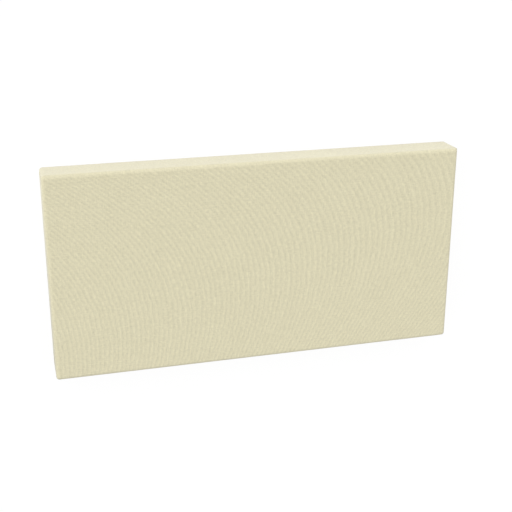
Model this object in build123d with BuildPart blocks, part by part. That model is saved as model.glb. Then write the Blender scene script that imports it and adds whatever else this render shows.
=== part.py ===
from build123d import *
import math
import os

# A fabric-wrapped acoustic wall panel, lying on its back with its cloth face up.
# A rigid mineral wool board carries the shape. One sheet of woven cloth is drawn over
# its face, round its edges and onto its back, where it ends in a glued hem.
# The end flaps lie over the long ones, so each corner shows a folded edge.
# X runs along the panel, Y across it, and Z up from the floor to the cloth face.
# The origin is the centre of the panel's outline on the floor. Sizes are in millimetres.

# Driving sizes
panel_length = 1200.0
panel_width = 600.0
panel_depth = 100.0
front_radius = 10.0  # soft edge round the cloth face
corner_radius = 10.0  # the four upright corners
back_radius = 4.0  # edge round the back
cloth_thickness = 1.0
hem_width = 45.0  # how far the cloth returns onto the back
tuck_width = 40.0  # how far the folded-in cloth reaches under an end flap
fold_inset = 2.0  # from the corner's round to the folded edge of the end flap
fold_fade = 15.0  # height over which the folded edge dies out below the front edge
fold_ramp = 14.0  # width of the dip beside the folded edge on the back
fold_turn = 30.0  # degrees round the corner where the dip on the end face runs out

# Sizes that follow
half_length = panel_length / 2
half_width = panel_width / 2
core_length = panel_length - 2 * cloth_thickness
core_width = panel_width - 2 * cloth_thickness
core_depth = panel_depth - 2 * cloth_thickness
fold_y = half_width - corner_radius - fold_inset
fold_top = panel_depth - front_radius - fold_fade
window_x = half_length - hem_width
window_y = half_width - hem_width
reach = 5.0  # how far a cutting shape runs past the surface that it cuts


def rounded_block(bottom, length, width, depth, corner, front, back):
    """A flat block with round upright corners and soft front and back edges."""
    with BuildPart() as block:
        with BuildSketch(Plane.XY.offset(bottom)):
            RectangleRounded(length, width, corner)
        extrude(amount=depth)
        fillet(block.faces().sort_by(Axis.Z)[-1].edges(), front)
        fillet(block.faces().sort_by(Axis.Z)[0].edges(), back)
    return block.part


# The folded-in cloth under each end flap and each corner of the hem
with BuildPart() as tucks:
    tuck_face = half_length - 2 * cloth_thickness
    with BuildSketch(Plane.XY.offset(cloth_thickness)):
        with Locations((tuck_face, half_width)):
            Rectangle(reach, tuck_width, align=(Align.MIN, Align.MAX))
    extrude(amount=panel_depth - front_radius - cloth_thickness)
    with BuildSketch(Plane.XY.offset(cloth_thickness)):
        with Locations((half_length, half_width)):
            Rectangle(hem_width + fold_ramp, hem_width, align=(Align.MAX, Align.MAX))
    extrude(amount=cloth_thickness)
    mirror(about=Plane.XZ)
    mirror(about=Plane.YZ)

# The board, with its bare back standing level with the hem that is pressed in round it
with BuildPart() as core_board:
    add(
        rounded_block(
            cloth_thickness,
            core_length,
            core_width,
            core_depth,
            corner_radius - cloth_thickness,
            front_radius - cloth_thickness,
            back_radius - cloth_thickness,
        )
    )
    add(tucks.part, mode=Mode.SUBTRACT)
    with BuildSketch():
        Rectangle(2 * window_x, 2 * window_y)
    extrude(amount=cloth_thickness)

# The dip beside each folded edge, one cloth deep at the edge
with BuildPart() as fold_dips:
    turn = math.radians(fold_turn)
    dip_end_x = half_length - corner_radius * (1 - math.cos(turn))
    dip_end_y = half_width - corner_radius * (1 - math.sin(turn))
    dip_outline = [
        (half_length + reach, fold_y),
        (half_length - cloth_thickness, fold_y),
        (dip_end_x, dip_end_y),
        (half_length + reach, dip_end_y),
    ]
    with BuildSketch(Plane.XY.offset(-reach)):
        Polygon(*dip_outline, align=None)
    extrude(amount=reach + fold_top)
    with BuildSketch(Plane.XY.offset(fold_top)):
        Polygon(*dip_outline, align=None)
    extrude(amount=fold_fade, dir=(cloth_thickness, 0, fold_fade))
    window_corner = Vector(window_x, window_y)
    fold_line = Vector(half_length, fold_y) - window_corner
    along = fold_line.normalized()
    across = Vector(-along.Y, along.X)
    mitre = Plane(window_corner - along * reach, x_dir=across, z_dir=along)
    with BuildSketch(mitre):
        Polygon(
            (0, -reach),
            (fold_ramp, -reach),
            (fold_ramp, 0),
            (0, cloth_thickness),
            align=None,
        )
    extrude(amount=fold_line.length + 2 * reach)
    mirror(about=Plane.XZ)
    mirror(about=Plane.YZ)

with BuildPart() as fabric_cover:
    add(
        rounded_block(
            0, panel_length, panel_width, panel_depth, corner_radius, front_radius, back_radius
        )
    )
    add(core_board.part, mode=Mode.SUBTRACT)
    add(fold_dips.part, mode=Mode.SUBTRACT)

core_board.part.label = "core_board"
fabric_cover.part.label = "fabric_cover"

os.makedirs("parts", exist_ok=True)
export_step(core_board.part, "parts/core_board.step")
export_step(fabric_cover.part, "parts/fabric_cover.step")
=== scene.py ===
import math
import random

import bpy
from mathutils import Matrix, Vector, noise


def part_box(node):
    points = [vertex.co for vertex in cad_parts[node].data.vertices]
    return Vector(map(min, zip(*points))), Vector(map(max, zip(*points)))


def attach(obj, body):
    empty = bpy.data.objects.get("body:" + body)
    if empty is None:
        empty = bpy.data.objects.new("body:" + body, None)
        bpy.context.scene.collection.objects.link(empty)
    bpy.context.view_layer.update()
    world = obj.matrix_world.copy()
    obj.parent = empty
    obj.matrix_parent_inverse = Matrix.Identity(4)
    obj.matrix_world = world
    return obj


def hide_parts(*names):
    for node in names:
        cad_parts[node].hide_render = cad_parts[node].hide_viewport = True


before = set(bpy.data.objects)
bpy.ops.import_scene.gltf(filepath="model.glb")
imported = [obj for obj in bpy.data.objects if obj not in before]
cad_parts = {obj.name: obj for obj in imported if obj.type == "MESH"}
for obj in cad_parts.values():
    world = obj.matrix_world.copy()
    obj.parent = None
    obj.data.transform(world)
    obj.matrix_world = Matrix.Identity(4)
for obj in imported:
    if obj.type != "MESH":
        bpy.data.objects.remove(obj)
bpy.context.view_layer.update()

# A fabric-wrapped acoustic panel lies on its back, cloth face up, and the camera looks
# down on it. Everything is in metres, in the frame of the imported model.

# Sizes of the panel, the same as in the part's source
MM = 0.001
FRONT_RADIUS = 10 * MM
CORNER_RADIUS = 10 * MM
BACK_RADIUS = 4 * MM
CLOTH = 1 * MM
HEM = 45 * MM
FOLD_INSET = 2 * MM
FOLD_FADE = 15 * MM
FOLD_RAMP = 14 * MM
FOLD_TURN = math.radians(30)

panel_low, panel_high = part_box("fabric_cover")
HALF_X = (panel_high.x - panel_low.x) / 2
HALF_Y = (panel_high.y - panel_low.y) / 2
DEPTH = panel_high.z - panel_low.z

# How far inside the hem's corner a mitre line ends
MITRE_SHIFT = 0.6 * MM

# Places that follow from these sizes
FLAT_X = HALF_X - CORNER_RADIUS
FLAT_Y = HALF_Y - CORNER_RADIUS
FOLD_Y = FLAT_Y - FOLD_INSET
MITRE_END_Y = HALF_Y - HEM - MITRE_SHIFT
QUARTER_TURN = math.pi / 2
WALL_RAMP = FOLD_INSET + CORNER_RADIUS * FOLD_TURN

# The corner radius of the wrap on the back: what it comes down to at the hem's end, and how
# much more it has at the outline
BACK_CORNER = 0.4 * MM
BACK_CORNER_MORE = 1.4 * MM

# Past a corner, a place on the flat cloth goes over from the way round that corner to the
# straight way, within this many back radii of the outline
BACK_EASE = 2.5

# How much the folded-in cloth fills out each upright corner, by the signs of its X and Y,
# and how square a full one is. The photograph's upper right corner is a full one.
CORNER_FULL = {(1, 1): 1.0, (1, -1): 0.0, (-1, -1): 0.3, (-1, 1): 0.0}
FULL_POWER = 8

# How far the drawn cloth strays from its exact shape, and over what lengths. The hem's cut
# edge strays up to close by its corners, and the closer the higher the power.
SWELL = 0.22 * MM
SWELL_SPAN = 0.11
HEM_WANDER = 1.1 * MM
HEM_WANDER_SPAN = 0.05
HEM_WANDER_SEED = 5.0
HEM_WANDER_POWER = 12

# Steps of the mesh from the face to the hem's end: over the front edge, where a fold fades
# in on the wall, down the rest of the wall, over the back edge and across the hem
FRONT_STEPS, FADE_STEPS, WALL_STEPS, BACK_STEPS, HEM_STEPS = 8, 5, 11, 5, 12

# Steps of the mesh round the outline: along half a long side, finer near the corner, round
# the corner, past a fold in fine steps and along the rest of half an end. The shares say
# where the fine steps begin and end, and where the cloth between corner and fold has points.
LONG_STEPS, LONG_FINE_STEPS, CORNER_STEPS, END_FINE_STEPS, END_STEPS = 54, 12, 9, 5, 28
LONG_FINE_FROM = 0.94
WEDGE_SHARES = (0.45, 0.85)
END_FINE_TO = 0.05

# The rolled edge of an end flap. Each column has its distance from the fold where the
# edge is rolled, the same where it has died out, and its share of the step beside it.
FOLD_ROLL = (
    (0.30 * MM, 0.00 * MM, 1.00),
    (0.05 * MM, 0.20 * MM, 0.80),
    (0.00 * MM, 0.40 * MM, 0.52),
    (0.12 * MM, 0.60 * MM, 0.22),
    (0.45 * MM, 0.80 * MM, 0.04),
    (1.10 * MM, 1.10 * MM, 0.00),
)

# The cloth's weave
THREAD_PITCH = 1.6 * MM
THREAD_RELIEF = 0.28 * MM

# The loose ends along the cut edge: the seed of their random draws, the share of the threads
# that have one, how long they are in millimetres, the share of long ones, and how many times
# longer those are
FRAY_SEED = 11
FRAY_SHARE = 0.55
FRAY_LENGTH = (0.5, 1.6)
FRAY_LONG_SHARE = 0.04
FRAY_LONG = (2.5, 4.5)

# Each loose end: its radius and the share of it that it loses, its height and how far it
# sinks, both in thicknesses of the cloth, and how far it reaches back into the cut edge
FRAY_RADIUS = 0.28 * MM
FRAY_THIN = 0.75
FRAY_HIGH, FRAY_FALL = 0.55, 0.3
FRAY_ROOT = 0.3 * MM

# Its turns: how far it starts aside, how far it bends over a span, and how far it strays at
# each of its parts. Then the sides that it has round it, and its parts.
FRAY_TURN = 0.45
FRAY_BEND = 0.5
FRAY_BEND_SPAN = 4 * THREAD_PITCH
FRAY_STRAY = 0.12
FRAY_SIDES = 3
FRAY_PARTS = 4

# The board: its gap under the cloth, and on its bare back the cell of its mesh, how deep its
# matted surface goes, and the gap that the cloth's cut edge leaves round it
BOARD_GAP = 0.02 * MM
WOOL_CELL = 4 * MM
WOOL_DIP = 0.9 * MM
WOOL_GAP = 0.4 * MM

# The matted surface, in shares of its depth: its middle, its least, what it has more at the
# rim, and its noises, each with its share, span and seed
WOOL_MIDDLE, WOOL_LEAST, WOOL_RIM = 0.5, 0.05, 0.6
WOOL_NOISES = ((0.35, 0.009, 0.0), (0.35, 0.035, 3.0), (0.25, 0.005, 7.0))

# How close to the rim, along X and along Y, the bare back follows the hem's cut edge and how
# close it goes deeper. A higher power is closer.
FOLLOW_X, FOLLOW_Y = 60, 30
RIM_X, RIM_Y = 180, 80


def steps(first, last, count):
    """Evenly spaced values from first to last, without the first."""
    return [first + (last - first) * k / count for k in range(1, count + 1)]


def smooth(t):
    """0 to 1 with level ends."""
    t = min(1.0, max(0.0, t))
    return t * t * (3 - 2 * t)


def drift(place, span, seed=0.0):
    """Smooth noise from about -1 to 1."""
    return noise.noise(Vector(place) / span + Vector((seed, 2 * seed, -seed)))


def hem_wander(place, along):
    """How far the hem's cut edge strays inwards; along runs from 0 mid-side to 1 at a corner."""
    held = 1 - min(1.0, along) ** HEM_WANDER_POWER
    return HEM_WANDER * held * drift(place, HEM_WANDER_SPAN, HEM_WANDER_SEED)


# The wrap

class Station:
    """A line round the wrap: its inset, height, outward normal and distance on the flat cloth."""

    def __init__(self, inset, height, out, up, run):
        self.inset, self.height, self.out, self.up, self.run = inset, height, out, up, run
        self.on_back = smooth(1 - height / BACK_RADIUS) if height < BACK_RADIUS else 0.0
        self.corner = max(CORNER_RADIUS - inset, 0.0)
        if self.on_back > 0:
            self.corner = max(self.corner, BACK_CORNER + BACK_CORNER_MORE * (1 - inset / HEM))
        self.centre_x = HALF_X - inset - self.corner
        self.centre_y = HALF_Y - inset - self.corner
        on_mitre = inset / HEM if self.on_back > 0 else 0.0
        self.fold_y = FOLD_Y + (MITRE_END_Y - FOLD_Y) * on_mitre
        self.fold = smooth((DEPTH - FRONT_RADIUS - height) / FOLD_FADE)


def wrap_stations():
    """From the edge of the flat face, over the front edge and the back edge, to the hem's end."""
    stations = []
    for angle in [0] + steps(0, QUARTER_TURN, FRONT_STEPS):
        out, up = math.sin(angle), math.cos(angle)
        inset = FRONT_RADIUS * (1 - out)
        height = DEPTH - FRONT_RADIUS * (1 - up)
        stations.append(Station(inset, height, out, up, FRONT_RADIUS * angle))
    run = FRONT_RADIUS * QUARTER_TURN
    wall_top = DEPTH - FRONT_RADIUS
    fade_end = wall_top - FOLD_FADE
    heights = steps(wall_top, fade_end, FADE_STEPS) + steps(fade_end, BACK_RADIUS, WALL_STEPS)
    for height in heights:
        stations.append(Station(0.0, height, 1.0, 0.0, run + wall_top - height))
    run += wall_top - BACK_RADIUS
    for angle in steps(0, QUARTER_TURN, BACK_STEPS):
        out, down = math.cos(angle), math.sin(angle)
        inset = BACK_RADIUS * (1 - out)
        height = BACK_RADIUS * (1 - down)
        stations.append(Station(inset, height, out, -down, run + BACK_RADIUS * angle))
    run += BACK_RADIUS * QUARTER_TURN
    for inset in steps(BACK_RADIUS, HEM, HEM_STEPS):
        stations.append(Station(inset, 0.0, 0.0, -1.0, run + inset - BACK_RADIUS))
    return stations


CORNER_TURNS = steps(0, QUARTER_TURN, CORNER_STEPS)


def wrap_columns():
    """A quarter of the way round, from the middle of a long side to the middle of an end."""
    long_shares = steps(0, LONG_FINE_FROM, LONG_STEPS) + steps(LONG_FINE_FROM, 1.0, LONG_FINE_STEPS)
    end_shares = steps(0, END_FINE_TO, END_FINE_STEPS) + steps(END_FINE_TO, 1.0, END_STEPS)
    columns = [("long", share) for share in [0.0] + long_shares]
    columns += [("corner", angle) for angle in CORNER_TURNS]
    columns += [("wedge", share) for share in WEDGE_SHARES]
    columns += [("fold", k) for k in range(len(FOLD_ROLL))]
    columns += [("end", share) for share in end_shares]
    return columns


STATIONS = wrap_stations()
COLUMNS = wrap_columns()


def outline_point(station, column):
    """A place on the outline in the quarter where X and Y are positive, and its way out."""
    kind, value = column
    if kind == "long":
        return value * station.centre_x, HALF_Y - station.inset, (0.0, 1.0)
    if kind == "corner":
        way = (math.sin(value), math.cos(value))
        x = station.centre_x + station.corner * way[0]
        y = station.centre_y + station.corner * way[1]
        return x, y, way
    if kind == "wedge":
        y = station.centre_y + (station.fold_y - station.centre_y) * value
    elif kind == "fold":
        rolled, level, _ = FOLD_ROLL[value]
        y = station.fold_y - level - (rolled - level) * station.fold
    else:
        y = (station.fold_y - FOLD_ROLL[-1][0]) * (1 - value)
    return HALF_X - station.inset, y, (1.0, 0.0)


def fold_dip(station, column, x, y):
    """How far the cloth lies back beside or under the folded edge of an end flap."""
    kind, value = column
    if kind == "end":
        return 0.0
    if kind == "fold":
        return CLOTH * station.fold * FOLD_ROLL[value][2]
    wall = {"long": WALL_RAMP, "wedge": FOLD_INSET * (1 - value)}.get(kind)
    if kind == "corner":
        wall = FOLD_INSET + CORNER_RADIUS * (QUARTER_TURN - value)
    mitre = Vector((-HEM, MITRE_END_Y - FOLD_Y)).normalized()
    back = abs((x - HALF_X) * mitre.y - (y - FOLD_Y) * mitre.x)
    on_wall, on_hem = max(0.0, 1 - wall / WALL_RAMP), max(0.0, 1 - back / FOLD_RAMP)
    return CLOTH * station.fold * (on_wall + (on_hem - on_wall) * station.on_back)


def corner_fill(station, column, signs):
    """How far the folded-in cloth pushes an upright corner out beyond its round."""
    kind, angle = column
    if kind != "corner":
        return 0.0
    square = (math.sin(angle) ** FULL_POWER + math.cos(angle) ** FULL_POWER) ** (-1 / FULL_POWER)
    share = CORNER_FULL[signs] * smooth((DEPTH - station.height) / FRONT_RADIUS)
    return share * station.corner * (square - 1)


def wrap_point(station, column, signs, offset):
    """A point of the wrapped cloth, that far in from its outer side."""
    kind, value = column
    x, y, way = outline_point(station, column)
    fill = corner_fill(station, column, signs)
    x, y = x + fill * way[0], y + fill * way[1]
    depth = offset + fold_dip(station, column, x, y)
    place = (signs[0] * x, signs[1] * y, station.height)
    if station.height > 0:
        depth -= SWELL * drift(place, SWELL_SPAN)
    elif kind in ("long", "end"):
        reach = (station.inset - BACK_RADIUS) / (HEM - BACK_RADIUS)
        wander = reach * reach * hem_wander(place, value if kind == "long" else 1 - value)
        x, y = x - wander * way[0], y - wander * way[1]
    x, y = x - depth * station.out * way[0], y - depth * station.out * way[1]
    return signs[0] * x, signs[1] * y, station.height - depth * station.up


def corner_run(station, angle, signs):
    """The way along the cloth round an upright corner, up to that angle."""
    run, before = 0.0, (0.0, station.corner)
    for turn in CORNER_TURNS:
        if turn <= angle:
            reach = station.corner + corner_fill(station, ("corner", turn), signs)
            place = (reach * math.sin(turn), reach * math.cos(turn))
            run, before = run + math.dist(place, before), place
    return run


def flat_place(chart, station, column, signs):
    """Where a point of that quarter lies on the flat cloth, as if both its signs were plus."""
    x, y, _ = outline_point(station, column)
    if chart == "end":
        return FLAT_X + station.run, y
    kind, value = column
    if kind == "long":
        return x, FLAT_Y + station.run
    past = 0.0 if kind == "corner" else station.centre_y - y
    turned = station.out if station.height > DEPTH - FRONT_RADIUS else 1.0
    round_corner = corner_run(station, value if kind == "corner" else CORNER_TURNS[-1], signs)
    u = station.centre_x + round_corner + turned * past
    v = FLAT_Y + station.run - (1 - turned) * past
    if station.height < BACK_RADIUS:
        level = smooth(station.inset / BACK_RADIUS / BACK_EASE)
        u, v = u + (x - u) * level, v + (HALF_Y - y - station.inset) * level
    return u, v


def round_order():
    """(quarter's signs, column's number) all the way round, each place once."""
    last = len(COLUMNS) - 1
    order = [((1, 1), k) for k in range(last + 1)]
    order += [((1, -1), k) for k in range(last - 1, -1, -1)]
    order += [((-1, -1), k) for k in range(1, last + 1)]
    order += [((-1, 1), k) for k in range(last - 1, 0, -1)]
    return order


ORDER = round_order()
QUARTERS = ((1, 1), (1, -1), (-1, -1), (-1, 1))
LONGS = sum(1 for kind, _ in COLUMNS if kind == "long")
CORNERS = sum(1 for kind, _ in COLUMNS if kind == "corner")


def strip_signs(n):
    """The quarter that holds the strip from place n to the next."""
    return QUARTERS[n // (len(COLUMNS) - 1)]


def add_object(name, data):
    """A new object in the scene."""
    made = bpy.data.objects.new(name, data)
    bpy.context.scene.collection.objects.link(made)
    return made


class Shell:
    """Points and faces of a skin that follows the wrap, with each corner's flat place."""

    def __init__(self):
        self.points, self.faces, self.flat = [], [], []

    def add(self, corners, flat, outward):
        """A face, turned over where it doesn't look outward."""
        self.faces.append(corners if outward else corners[::-1])
        self.flat.extend(flat if outward else flat[::-1])

    def add_plain(self, corners, outward=True):
        """A face whose flat place is simply where it lies."""
        self.add(corners, [self.points[k][:2] for k in corners], outward)

    def face_grid(self, offset, outward):
        """The flat face, as a grid whose edge meets the first line of the wrap."""
        top = STATIONS[0]
        xs = [outline_point(top, c)[0] for c in COLUMNS[:LONGS]]
        ys = [outline_point(top, c)[1] for c in COLUMNS[LONGS + CORNERS:]][::-1] + [FLAT_Y]
        xs = [-x for x in xs[:0:-1]] + xs
        ys = [-y for y in ys[:0:-1]] + ys
        start, wide, height = len(self.points), len(xs), DEPTH - offset
        for y in ys:
            self.points += [(x, y, height + SWELL * drift((x, y, DEPTH), SWELL_SPAN)) for x in xs]
        for j in range(len(ys) - 1):
            for i in range(wide - 1):
                a = start + j * wide + i
                flat = [(xs[i], ys[j]), (xs[i + 1], ys[j]), (xs[i + 1], ys[j + 1]), (xs[i], ys[j + 1])]
                self.add([a, a + 1, a + wide + 1, a + wide], flat, outward)
        middle = start + (len(ys) // 2) * wide + wide // 2
        ring = []
        for signs, k in ORDER:
            i = min(k, LONGS - 1)
            j = min(len(COLUMNS) - 1 - k, len(ys) // 2)
            ring.append(middle + signs[1] * j * wide + signs[0] * i)
        return ring

    def band(self, upper, lower, station, outward):
        """Faces between two lines of points round the wrap."""
        for n in range(len(ORDER)):
            m = (n + 1) % len(ORDER)
            signs, kn, km = strip_signs(n), ORDER[n][1], ORDER[m][1]
            kinds = {COLUMNS[kn][0], COLUMNS[km][0]}
            chart = "end" if kinds <= {"end", "fold"} else "long"
            corners = [
                (upper[n], station - 1, kn),
                (upper[m], station - 1, km),
                (lower[m], station, km),
                (lower[n], station, kn),
            ]
            if upper[n] == upper[m]:
                corners.pop(1)
            flat = []
            for _, row, k in corners:
                across, along = flat_place(chart, STATIONS[row], COLUMNS[k], signs)
                flat.append((signs[0] * across, signs[1] * along))
            self.add([index for index, _, _ in corners], flat, outward)

    def skin(self, offset, outward):
        """The face and the bands down to the hem's end, that far in; returns the last line."""
        ring = self.face_grid(offset, outward)
        for row in range(1, len(STATIONS)):
            lower = range(len(self.points), len(self.points) + len(ORDER))
            self.points += [wrap_point(STATIONS[row], COLUMNS[k], signs, offset) for signs, k in ORDER]
            self.band(ring, lower, row, outward)
            ring = lower
        return ring

    def rim(self, outer, inner):
        """The hem's cut edge, from the outer side of the cloth to its inner side."""
        for n in range(len(ORDER)):
            m = (n + 1) % len(ORDER)
            self.add_plain([outer[n], outer[m], inner[m], inner[n]])

    def build(self, name):
        """The skin as an object, its flat places in metres in the layer named cloth."""
        mesh = bpy.data.meshes.new(name)
        mesh.from_pydata(self.points, [], self.faces)
        mesh.polygons.foreach_set("use_smooth", [True] * len(mesh.polygons))
        layer = mesh.uv_layers.new(name="cloth")
        layer.data.foreach_set("uv", [value for place in self.flat for value in place])
        mesh.update()
        return add_object(name, mesh)


def build_cover():
    """The cloth as one closed sheet with its real thickness."""
    shell = Shell()
    outer = shell.skin(0.0, True)
    inner = shell.skin(CLOTH, False)
    shell.rim(outer, inner)
    return shell.build("cover_cloth")


# The loose yarn ends

def hem_edge_places():
    """Places along the hem's cut edge a thread apart, each with its way inwards."""
    hem_x, hem_y = HALF_X - HEM, HALF_Y - HEM
    for half, other, turned in ((hem_x, hem_y, False), (hem_y, hem_x, True)):
        count = int(2 * half / THREAD_PITCH)
        for side in (1, -1):
            for k in range(1, count):
                along = half * (2 * k / count - 1)
                place = (side * other, along, 0) if turned else (along, side * other, 0)
                inset = hem_wander(place, abs(along) / half)
                edge = side * (other - inset)
                if turned:
                    yield (edge, along), math.pi if side > 0 else 0.0
                else:
                    yield (along, edge), -QUARTER_TURN if side > 0 else QUARTER_TURN


def add_loose_end(shell, place, heading, length, chance):
    """A thin three-sided end of yarn that sticks out of the cut edge and lies on the wool."""
    start, (x, y) = len(shell.points), place
    bend = chance.uniform(-FRAY_BEND, FRAY_BEND)
    for n in range(FRAY_PARTS + 1):
        radius = FRAY_RADIUS * (1 - FRAY_THIN * n / FRAY_PARTS)
        z = CLOTH * (FRAY_HIGH - FRAY_FALL * n / FRAY_PARTS)
        for corner in range(FRAY_SIDES):
            turn = 2 * math.pi * corner / FRAY_SIDES
            side, rise = radius * math.cos(turn), radius * math.sin(turn)
            shell.points.append((x - side * math.sin(heading), y + side * math.cos(heading), z + rise))
        x += length / FRAY_PARTS * math.cos(heading)
        y += length / FRAY_PARTS * math.sin(heading)
        heading += bend * length / FRAY_BEND_SPAN + chance.uniform(-FRAY_STRAY, FRAY_STRAY)
    for n in range(FRAY_PARTS):
        for corner in range(FRAY_SIDES):
            a = start + FRAY_SIDES * n + corner
            b = start + FRAY_SIDES * n + (corner + 1) % FRAY_SIDES
            shell.add_plain([a, b, b + FRAY_SIDES, a + FRAY_SIDES])
    for first, outward in ((start, False), (start + FRAY_SIDES * FRAY_PARTS, True)):
        shell.add_plain(list(range(first, first + FRAY_SIDES)), outward)


def build_fray():
    """Loose ends of yarn along the hem's cut edge."""
    chance = random.Random(FRAY_SEED)
    shell = Shell()
    for place, heading in hem_edge_places():
        if chance.random() < FRAY_SHARE:
            length = chance.uniform(*FRAY_LENGTH) * MM
            if chance.random() < FRAY_LONG_SHARE:
                length *= chance.uniform(*FRAY_LONG)
            root = (place[0] - FRAY_ROOT * math.cos(heading), place[1] - FRAY_ROOT * math.sin(heading))
            heading += chance.uniform(-FRAY_TURN, FRAY_TURN)
            add_loose_end(shell, root, heading, length + FRAY_ROOT, chance)
    return shell.build("cover_fray")


cover = build_cover()
fray = build_fray()
for piece in (cover, fray):
    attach(piece, "root")
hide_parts("fabric_cover")


# The board

def field_point(a, b):
    """A place on the board's bare back, where a and b run from -1 to 1 between the hem's edges."""
    hem_x, hem_y = HALF_X - HEM, HALF_Y - HEM
    x, y = a * (hem_x - WOOL_GAP), b * (hem_y - WOOL_GAP)
    end = math.copysign(hem_wander((math.copysign(hem_x, a), y, 0), abs(y) / hem_y), a)
    side = math.copysign(hem_wander((x, math.copysign(hem_y, b), 0), abs(x) / hem_x), b)
    place = (x - end * abs(a) ** FOLLOW_X, y - side * abs(b) ** FOLLOW_Y, 0)
    matted = WOOL_MIDDLE
    for share, span, seed in WOOL_NOISES:
        matted += share * drift(place, span, seed)
    rim = max(abs(a) ** RIM_X, abs(b) ** RIM_Y)
    return place[0], place[1], WOOL_DIP * min(1.0, max(WOOL_LEAST, matted) + WOOL_RIM * rim)


def join_loops(shell, outer, inner):
    """Triangles on the underside between two loops of points, one inside the other."""
    def turned(k):
        x, y, _ = shell.points[k]
        return math.atan2(x / (HALF_X - HEM), y / (HALF_Y - HEM)) % (2 * math.pi)

    loops = []
    for loop in (outer, inner):
        first = min(range(len(loop)), key=lambda n: turned(loop[n]))
        loop = list(loop[first:]) + list(loop[:first])
        loops.append([(turned(k), k) for k in loop] + [(turned(loop[0]) + 2 * math.pi, loop[0])])
    outer, inner = loops
    i = j = 0
    while i + j < len(outer) + len(inner) - 2:
        ahead = j == len(inner) - 1 or (i < len(outer) - 1 and outer[i + 1][0] <= inner[j + 1][0])
        shell.add_plain([outer[i][1], (outer[i + 1] if ahead else inner[j + 1])[1], inner[j][1]])
        i, j = (i + 1, j) if ahead else (i, j + 1)


def add_field(shell, ring):
    """The bare back as a fine grid, standing out from the board's underside within the ring."""
    wide = 2 * round((HALF_X - HEM) / WOOL_CELL)
    high = 2 * round((HALF_Y - HEM) / WOOL_CELL)
    start = len(shell.points)
    for j in range(high + 1):
        for i in range(wide + 1):
            shell.points.append(field_point(2 * i / wide - 1, 2 * j / high - 1))

    def at(i, j):
        return start + j * (wide + 1) + i

    for j in range(high):
        for i in range(wide):
            shell.add_plain([at(i, j), at(i, j + 1), at(i + 1, j + 1), at(i + 1, j)])
    rim = [at(0, j) for j in range(high)] + [at(i, high) for i in range(wide)]
    rim += [at(wide, j) for j in range(high, 0, -1)] + [at(i, 0) for i in range(wide, 0, -1)]
    foot = range(len(shell.points), len(shell.points) + len(rim))
    shell.points += [(shell.points[k][0], shell.points[k][1], CLOTH) for k in rim]
    for n in range(len(rim)):
        m = (n + 1) % len(rim)
        shell.add_plain([rim[n], foot[n], foot[m], rim[m]])
    join_loops(shell, ring, foot)


def build_board():
    """The mineral wool board: its body under the cloth, and its bare back within the hem."""
    shell = Shell()
    ring = shell.skin(CLOTH + BOARD_GAP, True)
    add_field(shell, ring)
    return shell.build("board_wool")


board = build_board()
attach(board, "root")
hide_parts("core_board")


# Materials

WHITE = (1, 1, 1, 1)

# A colour mix node's sockets by number: the share, both colours and the result
MIX_SHARE, MIX_FIRST, MIX_SECOND, MIX_RESULT = 0, 6, 7, 2


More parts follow.
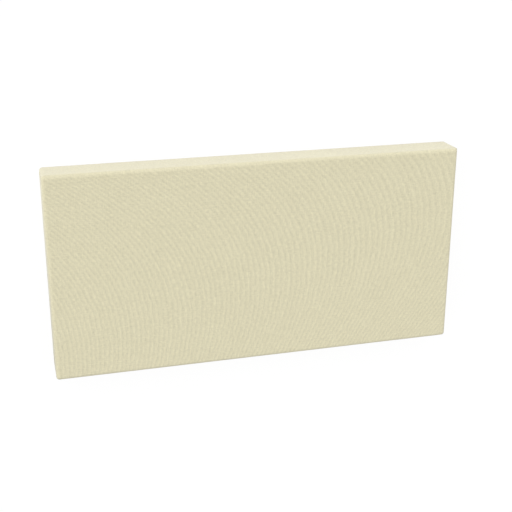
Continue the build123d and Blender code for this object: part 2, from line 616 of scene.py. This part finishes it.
class Graph:
    """Short ways to add nodes to a material or to the world."""

    def __init__(self, owner):
        owner.use_nodes = True
        self.owner = owner
        self.nodes, self.links = owner.node_tree.nodes, owner.node_tree.links

    def put(self, kind, *inputs, **settings):
        """A node of that kind. Inputs are sockets or values, in the node's own order."""
        node = self.nodes.new(kind)
        for name, value in settings.items():
            setattr(node, name, value)
        for socket, value in zip(node.inputs, inputs):
            if value is not None:
                self.feed(socket, value)
        return node

    def feed(self, socket, value):
        """Links a socket to another, or gives it a value."""
        if isinstance(value, bpy.types.NodeSocket):
            self.links.new(value, socket)
        else:
            socket.default_value = value

    def math(self, operation, *inputs):
        """A sum, a product or the like."""
        return self.put("ShaderNodeMath", *inputs, operation=operation).outputs[0]

    def split(self, place):
        """The first two parts of a vector."""
        return self.put("ShaderNodeSeparateXYZ", place).outputs[:2]

    def drawn(self, place, stretch):
        """A place with each of its parts multiplied."""
        return self.put("ShaderNodeVectorMath", place, stretch, operation="MULTIPLY").outputs[0]

    def along(self, place, way):
        """How far a place lies along a way."""
        return self.put("ShaderNodeVectorMath", place, way, operation="DOT_PRODUCT").outputs["Value"]

    def pick(self, share, first, second):
        """first where share is 0, second where it is 1."""
        return self.put("ShaderNodeMix", share, None, first, second, data_type="FLOAT").outputs[0]

    def blend(self, share, first, second):
        """A colour between two, held at the ends."""
        node = self.put("ShaderNodeMix", data_type="RGBA")
        self.feed(node.inputs[MIX_SHARE], share)
        self.feed(node.inputs[MIX_FIRST], (*first, 1))
        self.feed(node.inputs[MIX_SECOND], (*second, 1))
        return node.outputs[MIX_RESULT]

    def scaled(self, colour, share):
        """A colour made lighter or darker."""
        node = self.put("ShaderNodeVectorMath", colour, operation="SCALE")
        self.feed(node.inputs["Scale"], share)
        return node.outputs[0]

    def noise(self, place, scale, detail=2.0, roughness=0.5):
        """Cloudy noise from 0 to 1."""
        node = self.put("ShaderNodeTexNoise")
        self.feed(node.inputs["Vector"], place)
        self.feed(node.inputs["Scale"], scale)
        self.feed(node.inputs["Detail"], detail)
        self.feed(node.inputs["Roughness"], roughness)
        return node.outputs["Fac"]

    def spread(self, value, low, high, out_low, out_high, **settings):
        """Maps low..high to out_low..out_high, held at the ends."""
        node = self.put("ShaderNodeMapRange", value, low, high, out_low, out_high, **settings)
        return node.outputs[0]

    def surface(self, colour, roughness, sheen, sheen_roughness, specular):
        """Sets the colour and the finish of the material's shader."""
        inputs = self.nodes["Principled BSDF"].inputs
        self.feed(inputs["Base Color"], colour)
        self.feed(inputs["Roughness"], roughness)
        self.feed(inputs["Sheen Weight"], sheen)
        self.feed(inputs["Sheen Roughness"], sheen_roughness)
        self.feed(inputs["Specular IOR Level"], specular)

    def bump(self, height, depth, strength):
        """Gives the material's shader a relief."""
        node = self.put("ShaderNodeBump")
        self.feed(node.inputs["Height"], height)
        self.feed(node.inputs["Distance"], depth)
        self.feed(node.inputs["Strength"], strength)
        self.feed(self.nodes["Principled BSDF"].inputs["Normal"], node.outputs[0])


# The cloth: a plain weave of slubby wool-like yarn. Its finish is its sheen, that sheen's
# roughness, and how much it mirrors.
YARN_PALE = (0.735, 0.692, 0.493)
YARN_DEEP = (0.665, 0.620, 0.434)
YARN_ROUGH, YARN_SMOOTH = 0.96, 0.84
YARN_FINISH = (0.5, 0.45, 0.15)
RELIEF_STRENGTH = 0.8

# A thread: how fast its height falls off to its sides, and the lowest and highest heights
THREAD_FALL = 1.7
THREAD_LOW, THREAD_HIGH = -0.55, 0.5

# How far the threads waver, in threads, and how finely
WAVER, WAVER_SCALE = 0.9, 45.0

# How fine the noises in the yarn are, across it and along it: slubs and fibres in each
# thread, and thick and thin runs in each metre
SLUB_FINE = (0.9, 0.035)
FIBRE_FINE = (9.0, 1.6)
RUN_FINE = (290.0, 85.0)
MOTTLE_SCALE = 9.0

# What they do: to the yarn's colour, to the cloth's lightness, to its roughness and relief
MELANGE = 2.6
RUN_SHADE, MOTTLE_SHADE = 0.27, 0.05
FIBRE_ROUGH, FIBRE_RELIEF, SLUB_RELIEF = 0.5, 0.35, 0.5

# Painted shade in the weave: the lightness painted darker in the gaps between threads and lighter
# on top of them, and the height where the full lightness is reached
GAP_PAINTED_SHADE, TOP_PAINTED_LIGHT, TOP_HEIGHT = 0.70, 1.055, 0.60

# The faint watered figure that the weave shows from afar. Its arcs up to a place are counted
# by a sum: so many for each metre along and across the cloth, and so many for along squared,
# for along times across and for across squared.
WATER_ALONG, WATER_ACROSS = -62.5, -11
WATER_TURN_ALONG, WATER_TURN, WATER_TURN_ACROSS = 5, 50, -81
WATER_SHADE = 0.053

# How the figure is broken up: its arcs are bent by so much of an arc, have a weaker second
# beat, and fade to the least strength where a noise is low
WATER_BEND, WATER_BEND_SCALE = 0.9, 24.0
WATER_SECOND = 0.3
WATER_LEAST, WATER_FADE_SCALE = 0.2, 62.0
WATER_FADE_LOW, WATER_FADE_HIGH = 0.38, 0.60


def threads(graph, cells):
    """The weave's height, from 0 to 1, and 1 where a thread across the length lies on top."""
    u, v = graph.split(cells)
    row, column = graph.math("FLOOR", v), graph.math("FLOOR", u)
    in_u = graph.math("SUBTRACT", graph.math("FRACT", u), 0.5)
    in_v = graph.math("SUBTRACT", graph.math("FRACT", v), 0.5)
    odd = graph.math("FLOORED_MODULO", graph.math("ADD", row, column), 2.0)
    side = graph.math("MULTIPLY_ADD", odd, -2.0, 1.0)
    heights = []
    for across, along, sign in ((in_u, in_v, 0.5), (in_v, in_u, -0.5)):
        crossing = graph.math("COSINE", graph.math("MULTIPLY", along, math.pi))
        lifted = graph.math("MULTIPLY", graph.math("MULTIPLY", crossing, side), sign)
        wide = graph.math("MULTIPLY", across, THREAD_FALL)
        hollow = graph.math("MULTIPLY", wide, wide)
        heights.append(graph.math("SUBTRACT", lifted, hollow))
    height = graph.math("MAXIMUM", *heights)
    upper = graph.math("GREATER_THAN", *heights)
    return graph.spread(height, THREAD_LOW, THREAD_HIGH, 0.0, 1.0), upper


def both_ways(graph, place, fineness, detail):
    """Noise in the threads across the cloth's length, and noise in those along it."""
    across, along = fineness
    noises = []
    for stretch in ((across, along, 1.0), (along, across, 1.0)):
        noises.append(graph.noise(graph.drawn(place, stretch), 1.0, detail, roughness=0.6))
    return noises


def yarn_shade(graph, cells, upper):
    """The slubs and the fibres of whichever thread lies on top, both around 0."""
    slubs = both_ways(graph, cells, SLUB_FINE, 3.0)
    slub = graph.pick(upper, slubs[1], slubs[0])
    fibres = both_ways(graph, cells, FIBRE_FINE, 2.0)
    fibre = graph.pick(upper, fibres[1], fibres[0])
    return graph.math("SUBTRACT", slub, 0.5), graph.math("SUBTRACT", fibre, 0.5)


def uneven_runs(graph, place):
    """Short runs of thicker and thinner yarn along both ways of the weave, around 0."""
    runs = both_ways(graph, place, RUN_FINE, 2.0)
    return graph.math("SUBTRACT", graph.math("ADD", *runs), 1.0)


def watered_figure(graph, place):
    """Faint broken arcs over the cloth's face, around 0."""
    u, v = graph.split(place)
    turns = graph.math("MULTIPLY_ADD", u, WATER_TURN_ALONG, WATER_ALONG)
    turns = graph.math("MULTIPLY_ADD", v, WATER_TURN, turns)
    sweep = graph.math("MULTIPLY_ADD", v, WATER_TURN_ACROSS, WATER_ACROSS)
    sweep = graph.math("MULTIPLY", sweep, v)
    phase = graph.math("MULTIPLY_ADD", turns, u, sweep)
    uneven = graph.noise(place, WATER_BEND_SCALE, detail=3.0, roughness=0.6)
    phase = graph.math("MULTIPLY_ADD", uneven, WATER_BEND, phase)
    turn = graph.math("MULTIPLY", phase, 2 * math.pi)
    second = graph.math("SINE", graph.math("MULTIPLY", turn, 2.0))
    arcs = graph.math("MULTIPLY_ADD", second, WATER_SECOND, graph.math("SINE", turn))
    patches = graph.noise(place, WATER_FADE_SCALE, detail=3.0, roughness=0.7)
    faded = graph.spread(patches, WATER_FADE_LOW, WATER_FADE_HIGH, WATER_LEAST, 1.0)
    for part, half in ((u, HALF_X), (v, HALF_Y)):
        on_face = graph.spread(graph.math("ABSOLUTE", part), half - FRONT_RADIUS, half, 1.0, 0.0)
        faded = graph.math("MULTIPLY", faded, on_face)
    return graph.math("MULTIPLY", arcs, faded)


def thread_cells(graph, place):
    """A place on the flat cloth counted in threads, which waver a little."""
    waver = graph.put("ShaderNodeTexNoise", noise_dimensions="2D")
    graph.feed(waver.inputs["Vector"], place)
    graph.feed(waver.inputs["Scale"], WAVER_SCALE)
    strayed, cells = waver.outputs["Color"], graph.drawn(place, (1 / THREAD_PITCH,) * 3)
    node = graph.put("ShaderNodeVectorMath", strayed, (WAVER,) * 3, cells, operation="MULTIPLY_ADD")
    return node.outputs[0]


def cloth_material():
    """The woven cloth, its threads laid out on the flat cloth."""
    graph = Graph(bpy.data.materials.new("woven_cloth"))
    place = graph.put("ShaderNodeUVMap", uv_map="cloth").outputs[0]
    cells = thread_cells(graph, place)
    height, upper = threads(graph, cells)
    slub, fibre = yarn_shade(graph, cells, upper)
    mottle = graph.noise(place, MOTTLE_SCALE, detail=3.0, roughness=0.55)

    melange = graph.math("MULTIPLY_ADD", fibre, MELANGE, 0.5)
    melange = graph.math("MULTIPLY_ADD", slub, MELANGE, melange)
    colour = graph.blend(melange, YARN_DEEP, YARN_PALE)
    # Painted shade: darker in the gaps between threads, lighter on their tops; then mottle, runs and
    # the watered figure
    shade = graph.spread(height, 0.0, TOP_HEIGHT, GAP_PAINTED_SHADE, TOP_PAINTED_LIGHT)
    shade = graph.math("MULTIPLY_ADD", graph.math("SUBTRACT", mottle, 0.5), MOTTLE_SHADE, shade)
    shade = graph.math("MULTIPLY_ADD", uneven_runs(graph, place), RUN_SHADE, shade)
    shade = graph.math("MULTIPLY_ADD", watered_figure(graph, place), WATER_SHADE, shade)

    rough = graph.math("MULTIPLY_ADD", fibre, FIBRE_ROUGH, height)
    rough = graph.spread(rough, 0.0, 1.0, YARN_ROUGH, YARN_SMOOTH)
    graph.surface(graph.scaled(colour, shade), rough, *YARN_FINISH)
    relief = graph.math("MULTIPLY_ADD", slub, SLUB_RELIEF, height)
    relief = graph.math("MULTIPLY_ADD", fibre, FIBRE_RELIEF, relief)
    graph.bump(relief, THREAD_RELIEF, RELIEF_STRENGTH)
    return graph.owner


# The loose yarn: how fine its fibres and its darker stretches are, how much each counts in
# its colour, and how high its fibres stand
LOOSE_FIBRE_SCALE, LOOSE_TONE_SCALE = 3200.0, 350.0
LOOSE_FIBRE_SHARE, LOOSE_TONE_SHARE = 0.7, 0.6
LOOSE_RELIEF, LOOSE_STRENGTH = 0.1 * MM, 0.6


def yarn_material():
    """Loose yarn of the cloth's own colours, with fibres and darker stretches."""
    graph = Graph(bpy.data.materials.new("loose_yarn"))
    place = graph.put("ShaderNodeTexCoord").outputs["Object"]
    fibre = graph.noise(place, LOOSE_FIBRE_SCALE, detail=3.0, roughness=0.65)
    stretches = graph.noise(place, LOOSE_TONE_SCALE)
    tone = graph.math("MULTIPLY", fibre, LOOSE_FIBRE_SHARE)
    tone = graph.math("MULTIPLY_ADD", stretches, LOOSE_TONE_SHARE, tone)
    rough = graph.spread(fibre, 0.2, 0.8, YARN_ROUGH, YARN_SMOOTH)
    graph.surface(graph.blend(tone, YARN_DEEP, YARN_PALE), rough, *YARN_FINISH)
    graph.bump(fibre, LOOSE_RELIEF, LOOSE_STRENGTH)
    return graph.owner


# The wool. Its finish is its sheen, that sheen's roughness, and how much it mirrors.
WOOL_PALE = (0.600, 0.545, 0.330)
WOOL_DEEP = (0.400, 0.340, 0.170)
WOOL_ROUGH, WOOL_SMOOTH = 0.98, 0.72
WOOL_FINISH = (0.25, 0.5, 0.2)
WOOL_RELIEF = 0.8 * MM

# The wool's fibres: the turn and the fineness of each layer, how drawn out they are, and how
# wide a strand is. Then the scales of the tufts and of the ground's mottling.
WOOL_LAYERS = ((0.3, 900.0), (1.35, 1100.0), (2.4, 800.0))
WOOL_STRETCH = (0.14, 1.0, 1.0)
STRAND_WIDTH = 0.07
TUFT_SCALE, GROUND_SCALE = 160.0, 28.0

# What fibres, tufts and ground each add to the tone, the tones that are deepest and palest,
# and what the fibres add to the relief of the tufts
FIBRE_TONE, TUFT_TONE, GROUND_TONE = 0.45, 0.75, 0.5
TONE_LOW, TONE_HIGH = 0.35, 1.15
FIBRE_HEIGHT = 0.35


def wool_material():
    """Matted glass-like wool: crossing fibres in three directions over a mottled ground."""
    graph = Graph(bpy.data.materials.new("mineral_wool"))
    place = graph.put("ShaderNodeTexCoord").outputs["Object"]
    fibres = None
    for turn, fine in WOOL_LAYERS:
        turned = graph.put("ShaderNodeVectorRotate", place, None, (0, 0, 1), turn).outputs[0]
        layer = graph.noise(graph.drawn(turned, WOOL_STRETCH), fine, detail=3.0, roughness=0.6)
        band = graph.math("ABSOLUTE", graph.math("SUBTRACT", layer, 0.5))
        strand = graph.spread(band, 0.0, STRAND_WIDTH, 1.0, 0.0)
        fibres = strand if fibres is None else graph.math("MAXIMUM", fibres, strand)
    tufts = graph.noise(place, TUFT_SCALE, detail=4.0, roughness=0.6)
    ground = graph.noise(place, GROUND_SCALE, detail=3.0, roughness=0.55)
    tone = graph.math("MULTIPLY", tufts, TUFT_TONE)
    tone = graph.math("MULTIPLY_ADD", fibres, FIBRE_TONE, tone)
    tone = graph.math("MULTIPLY_ADD", ground, GROUND_TONE, tone)
    colour = graph.blend(graph.spread(tone, TONE_LOW, TONE_HIGH, 0.0, 1.0), WOOL_DEEP, WOOL_PALE)
    rough = graph.spread(fibres, 0.0, 1.0, WOOL_ROUGH, WOOL_SMOOTH)
    graph.surface(colour, rough, *WOOL_FINISH)
    relief = graph.math("MULTIPLY_ADD", fibres, FIBRE_HEIGHT, tufts)
    graph.bump(relief, WOOL_RELIEF, RELIEF_STRENGTH)
    return graph.owner


cover.data.materials.append(cloth_material())
fray.data.materials.append(yarn_material())
board.data.materials.append(wool_material())


# The camera stands where the photograph's did: 20 degrees above the panel's axis and
# 15 degrees to its left, with a 30 degree field of view. Its sensor is in millimetres.
PITCH = math.radians(20)
YAW = math.radians(15)
FIELD = math.radians(30)
CAMERA_PLACE = (-0.682, 0.962, 2.592)
SENSOR_WIDTH = 36.0


def add_camera():
    """The scene's camera."""
    data = bpy.data.cameras.new("camera")
    data.sensor_width = SENSOR_WIDTH
    data.lens = data.sensor_width / 2 / math.tan(FIELD / 2)
    camera = add_object("camera", data)
    level = math.cos(PITCH)
    forward = Vector((math.sin(YAW) * level, -math.sin(PITCH), -math.cos(YAW) * level))
    right = Vector((math.cos(YAW), 0, math.sin(YAW)))
    up = right.cross(forward)
    turn = Matrix((right, up, -forward)).transposed()
    camera.matrix_world = Matrix.Translation(CAMERA_PLACE) @ turn.to_4x4()
    bpy.context.scene.camera = camera


# Soft light from all round, a little stronger from the photograph's left. The sky has a
# middle level and a slope. It darkens towards the panel's lower edge: it is full up to where
# the first share of a way points there, and dark from the second on.
SKY_LEVEL = 1.103
SKY_SLOPE = (-0.36, 0.05, 0.0)
SKY_DIM_FROM, SKY_DIM_TO = 0.48, 0.88

# The floor throws light back, weakest where this sum over a place on it is -1 and strongest
# where it is 1
BOUNCE_WEAK, BOUNCE_STRONG = 0.15, 1.103
BOUNCE_WAY = (-0.02, 2.1, 0.0)

# The floor's matte grey, its brightness as the camera sees it, how far it reaches, and how
# far below the panel it lies
FLOOR_GREY = 0.10
FLOOR_SEEN = 1.01
FLOOR_HALF = 40.0
FLOOR_DROP = 0.2 * MM

# The weak key light: where it comes from, its strength and how wide it is
KEY_WAY = (-0.42, 0.62, 0.70)
KEY_STRENGTH = 0.15
KEY_SPREAD = math.radians(40)


def seen_share(graph):
    """1 for rays from the camera and for mirrored or passed ones, else 0."""
    path = graph.put("ShaderNodeLightPath")
    total = path.outputs["Is Camera Ray"]
    for name in ("Is Glossy Ray", "Is Transmission Ray"):
        total = graph.math("MAXIMUM", total, path.outputs[name])
    return total


def add_world():
    """A sky that lights the panel softly, and white where the camera sees it."""
    graph = Graph(bpy.data.worlds.new("studio"))
    bpy.context.scene.world = graph.owner
    way = graph.put("ShaderNodeTexCoord").outputs["Generated"]
    level = graph.spread(graph.along(way, SKY_SLOPE), -1.0, 1.0, 0.0, 2 * SKY_LEVEL)
    up_panel = graph.split(way)[1]
    ends = (-SKY_DIM_TO, -SKY_DIM_FROM, 0.0, 1.0)
    dimmed = graph.spread(up_panel, *ends, interpolation_type="SMOOTHSTEP")
    light = graph.nodes["Background"]
    graph.feed(light.inputs["Color"], WHITE)
    graph.feed(light.inputs["Strength"], graph.math("MULTIPLY", level, dimmed))
    white = graph.put("ShaderNodeBackground", WHITE, 1.0)
    mix = graph.put("ShaderNodeMixShader", seen_share(graph), light.outputs[0], white.outputs[0])
    graph.feed(graph.nodes["World Output"].inputs[0], mix.outputs[0])


def add_key_light():
    """A weak sun, so wide that its shadows are soft."""
    data = bpy.data.lights.new("key", "SUN")
    data.energy = KEY_STRENGTH
    data.angle = KEY_SPREAD
    lamp = add_object("key", data)
    lamp.rotation_mode = "QUATERNION"
    lamp.rotation_quaternion = Vector(KEY_WAY).to_track_quat("Z", "Y")


def floor_material():
    """White where the camera sees it, softly lit where it lights the panel, clear from below."""
    graph = Graph(bpy.data.materials.new("floor_white"))
    graph.nodes.remove(graph.nodes["Principled BSDF"])
    place = graph.put("ShaderNodeTexCoord").outputs["Object"]
    bounce = graph.spread(graph.along(place, BOUNCE_WAY), -1.0, 1.0, BOUNCE_WEAK, BOUNCE_STRONG)
    level = graph.spread(seen_share(graph), 0.0, 1.0, bounce, FLOOR_SEEN - FLOOR_GREY)
    glow = graph.put("ShaderNodeEmission", WHITE, level).outputs[0]
    matte = graph.put("ShaderNodeBsdfDiffuse", (FLOOR_GREY, FLOOR_GREY, FLOOR_GREY, 1)).outputs[0]
    total = graph.put("ShaderNodeAddShader", matte, glow).outputs[0]
    below = graph.put("ShaderNodeNewGeometry").outputs["Backfacing"]
    clear = graph.put("ShaderNodeBsdfTransparent").outputs[0]
    sided = graph.put("ShaderNodeMixShader", below, total, clear)
    graph.feed(graph.nodes["Material Output"].inputs[0], sided.outputs[0])
    return graph.owner


def add_floor():
    """The ground that the panel lies on."""
    side = FLOOR_HALF
    corners = [(-side, -side, 0), (side, -side, 0), (side, side, 0), (-side, side, 0)]
    mesh = bpy.data.meshes.new("floor")
    mesh.from_pydata(corners, [], [(0, 1, 2, 3)])
    mesh.update()
    floor = add_object("floor", mesh)
    floor.location.z = -FLOOR_DROP
    mesh.materials.append(floor_material())


add_camera()
add_world()
add_key_light()
add_floor()
bpy.context.scene.view_settings.view_transform = "Standard"
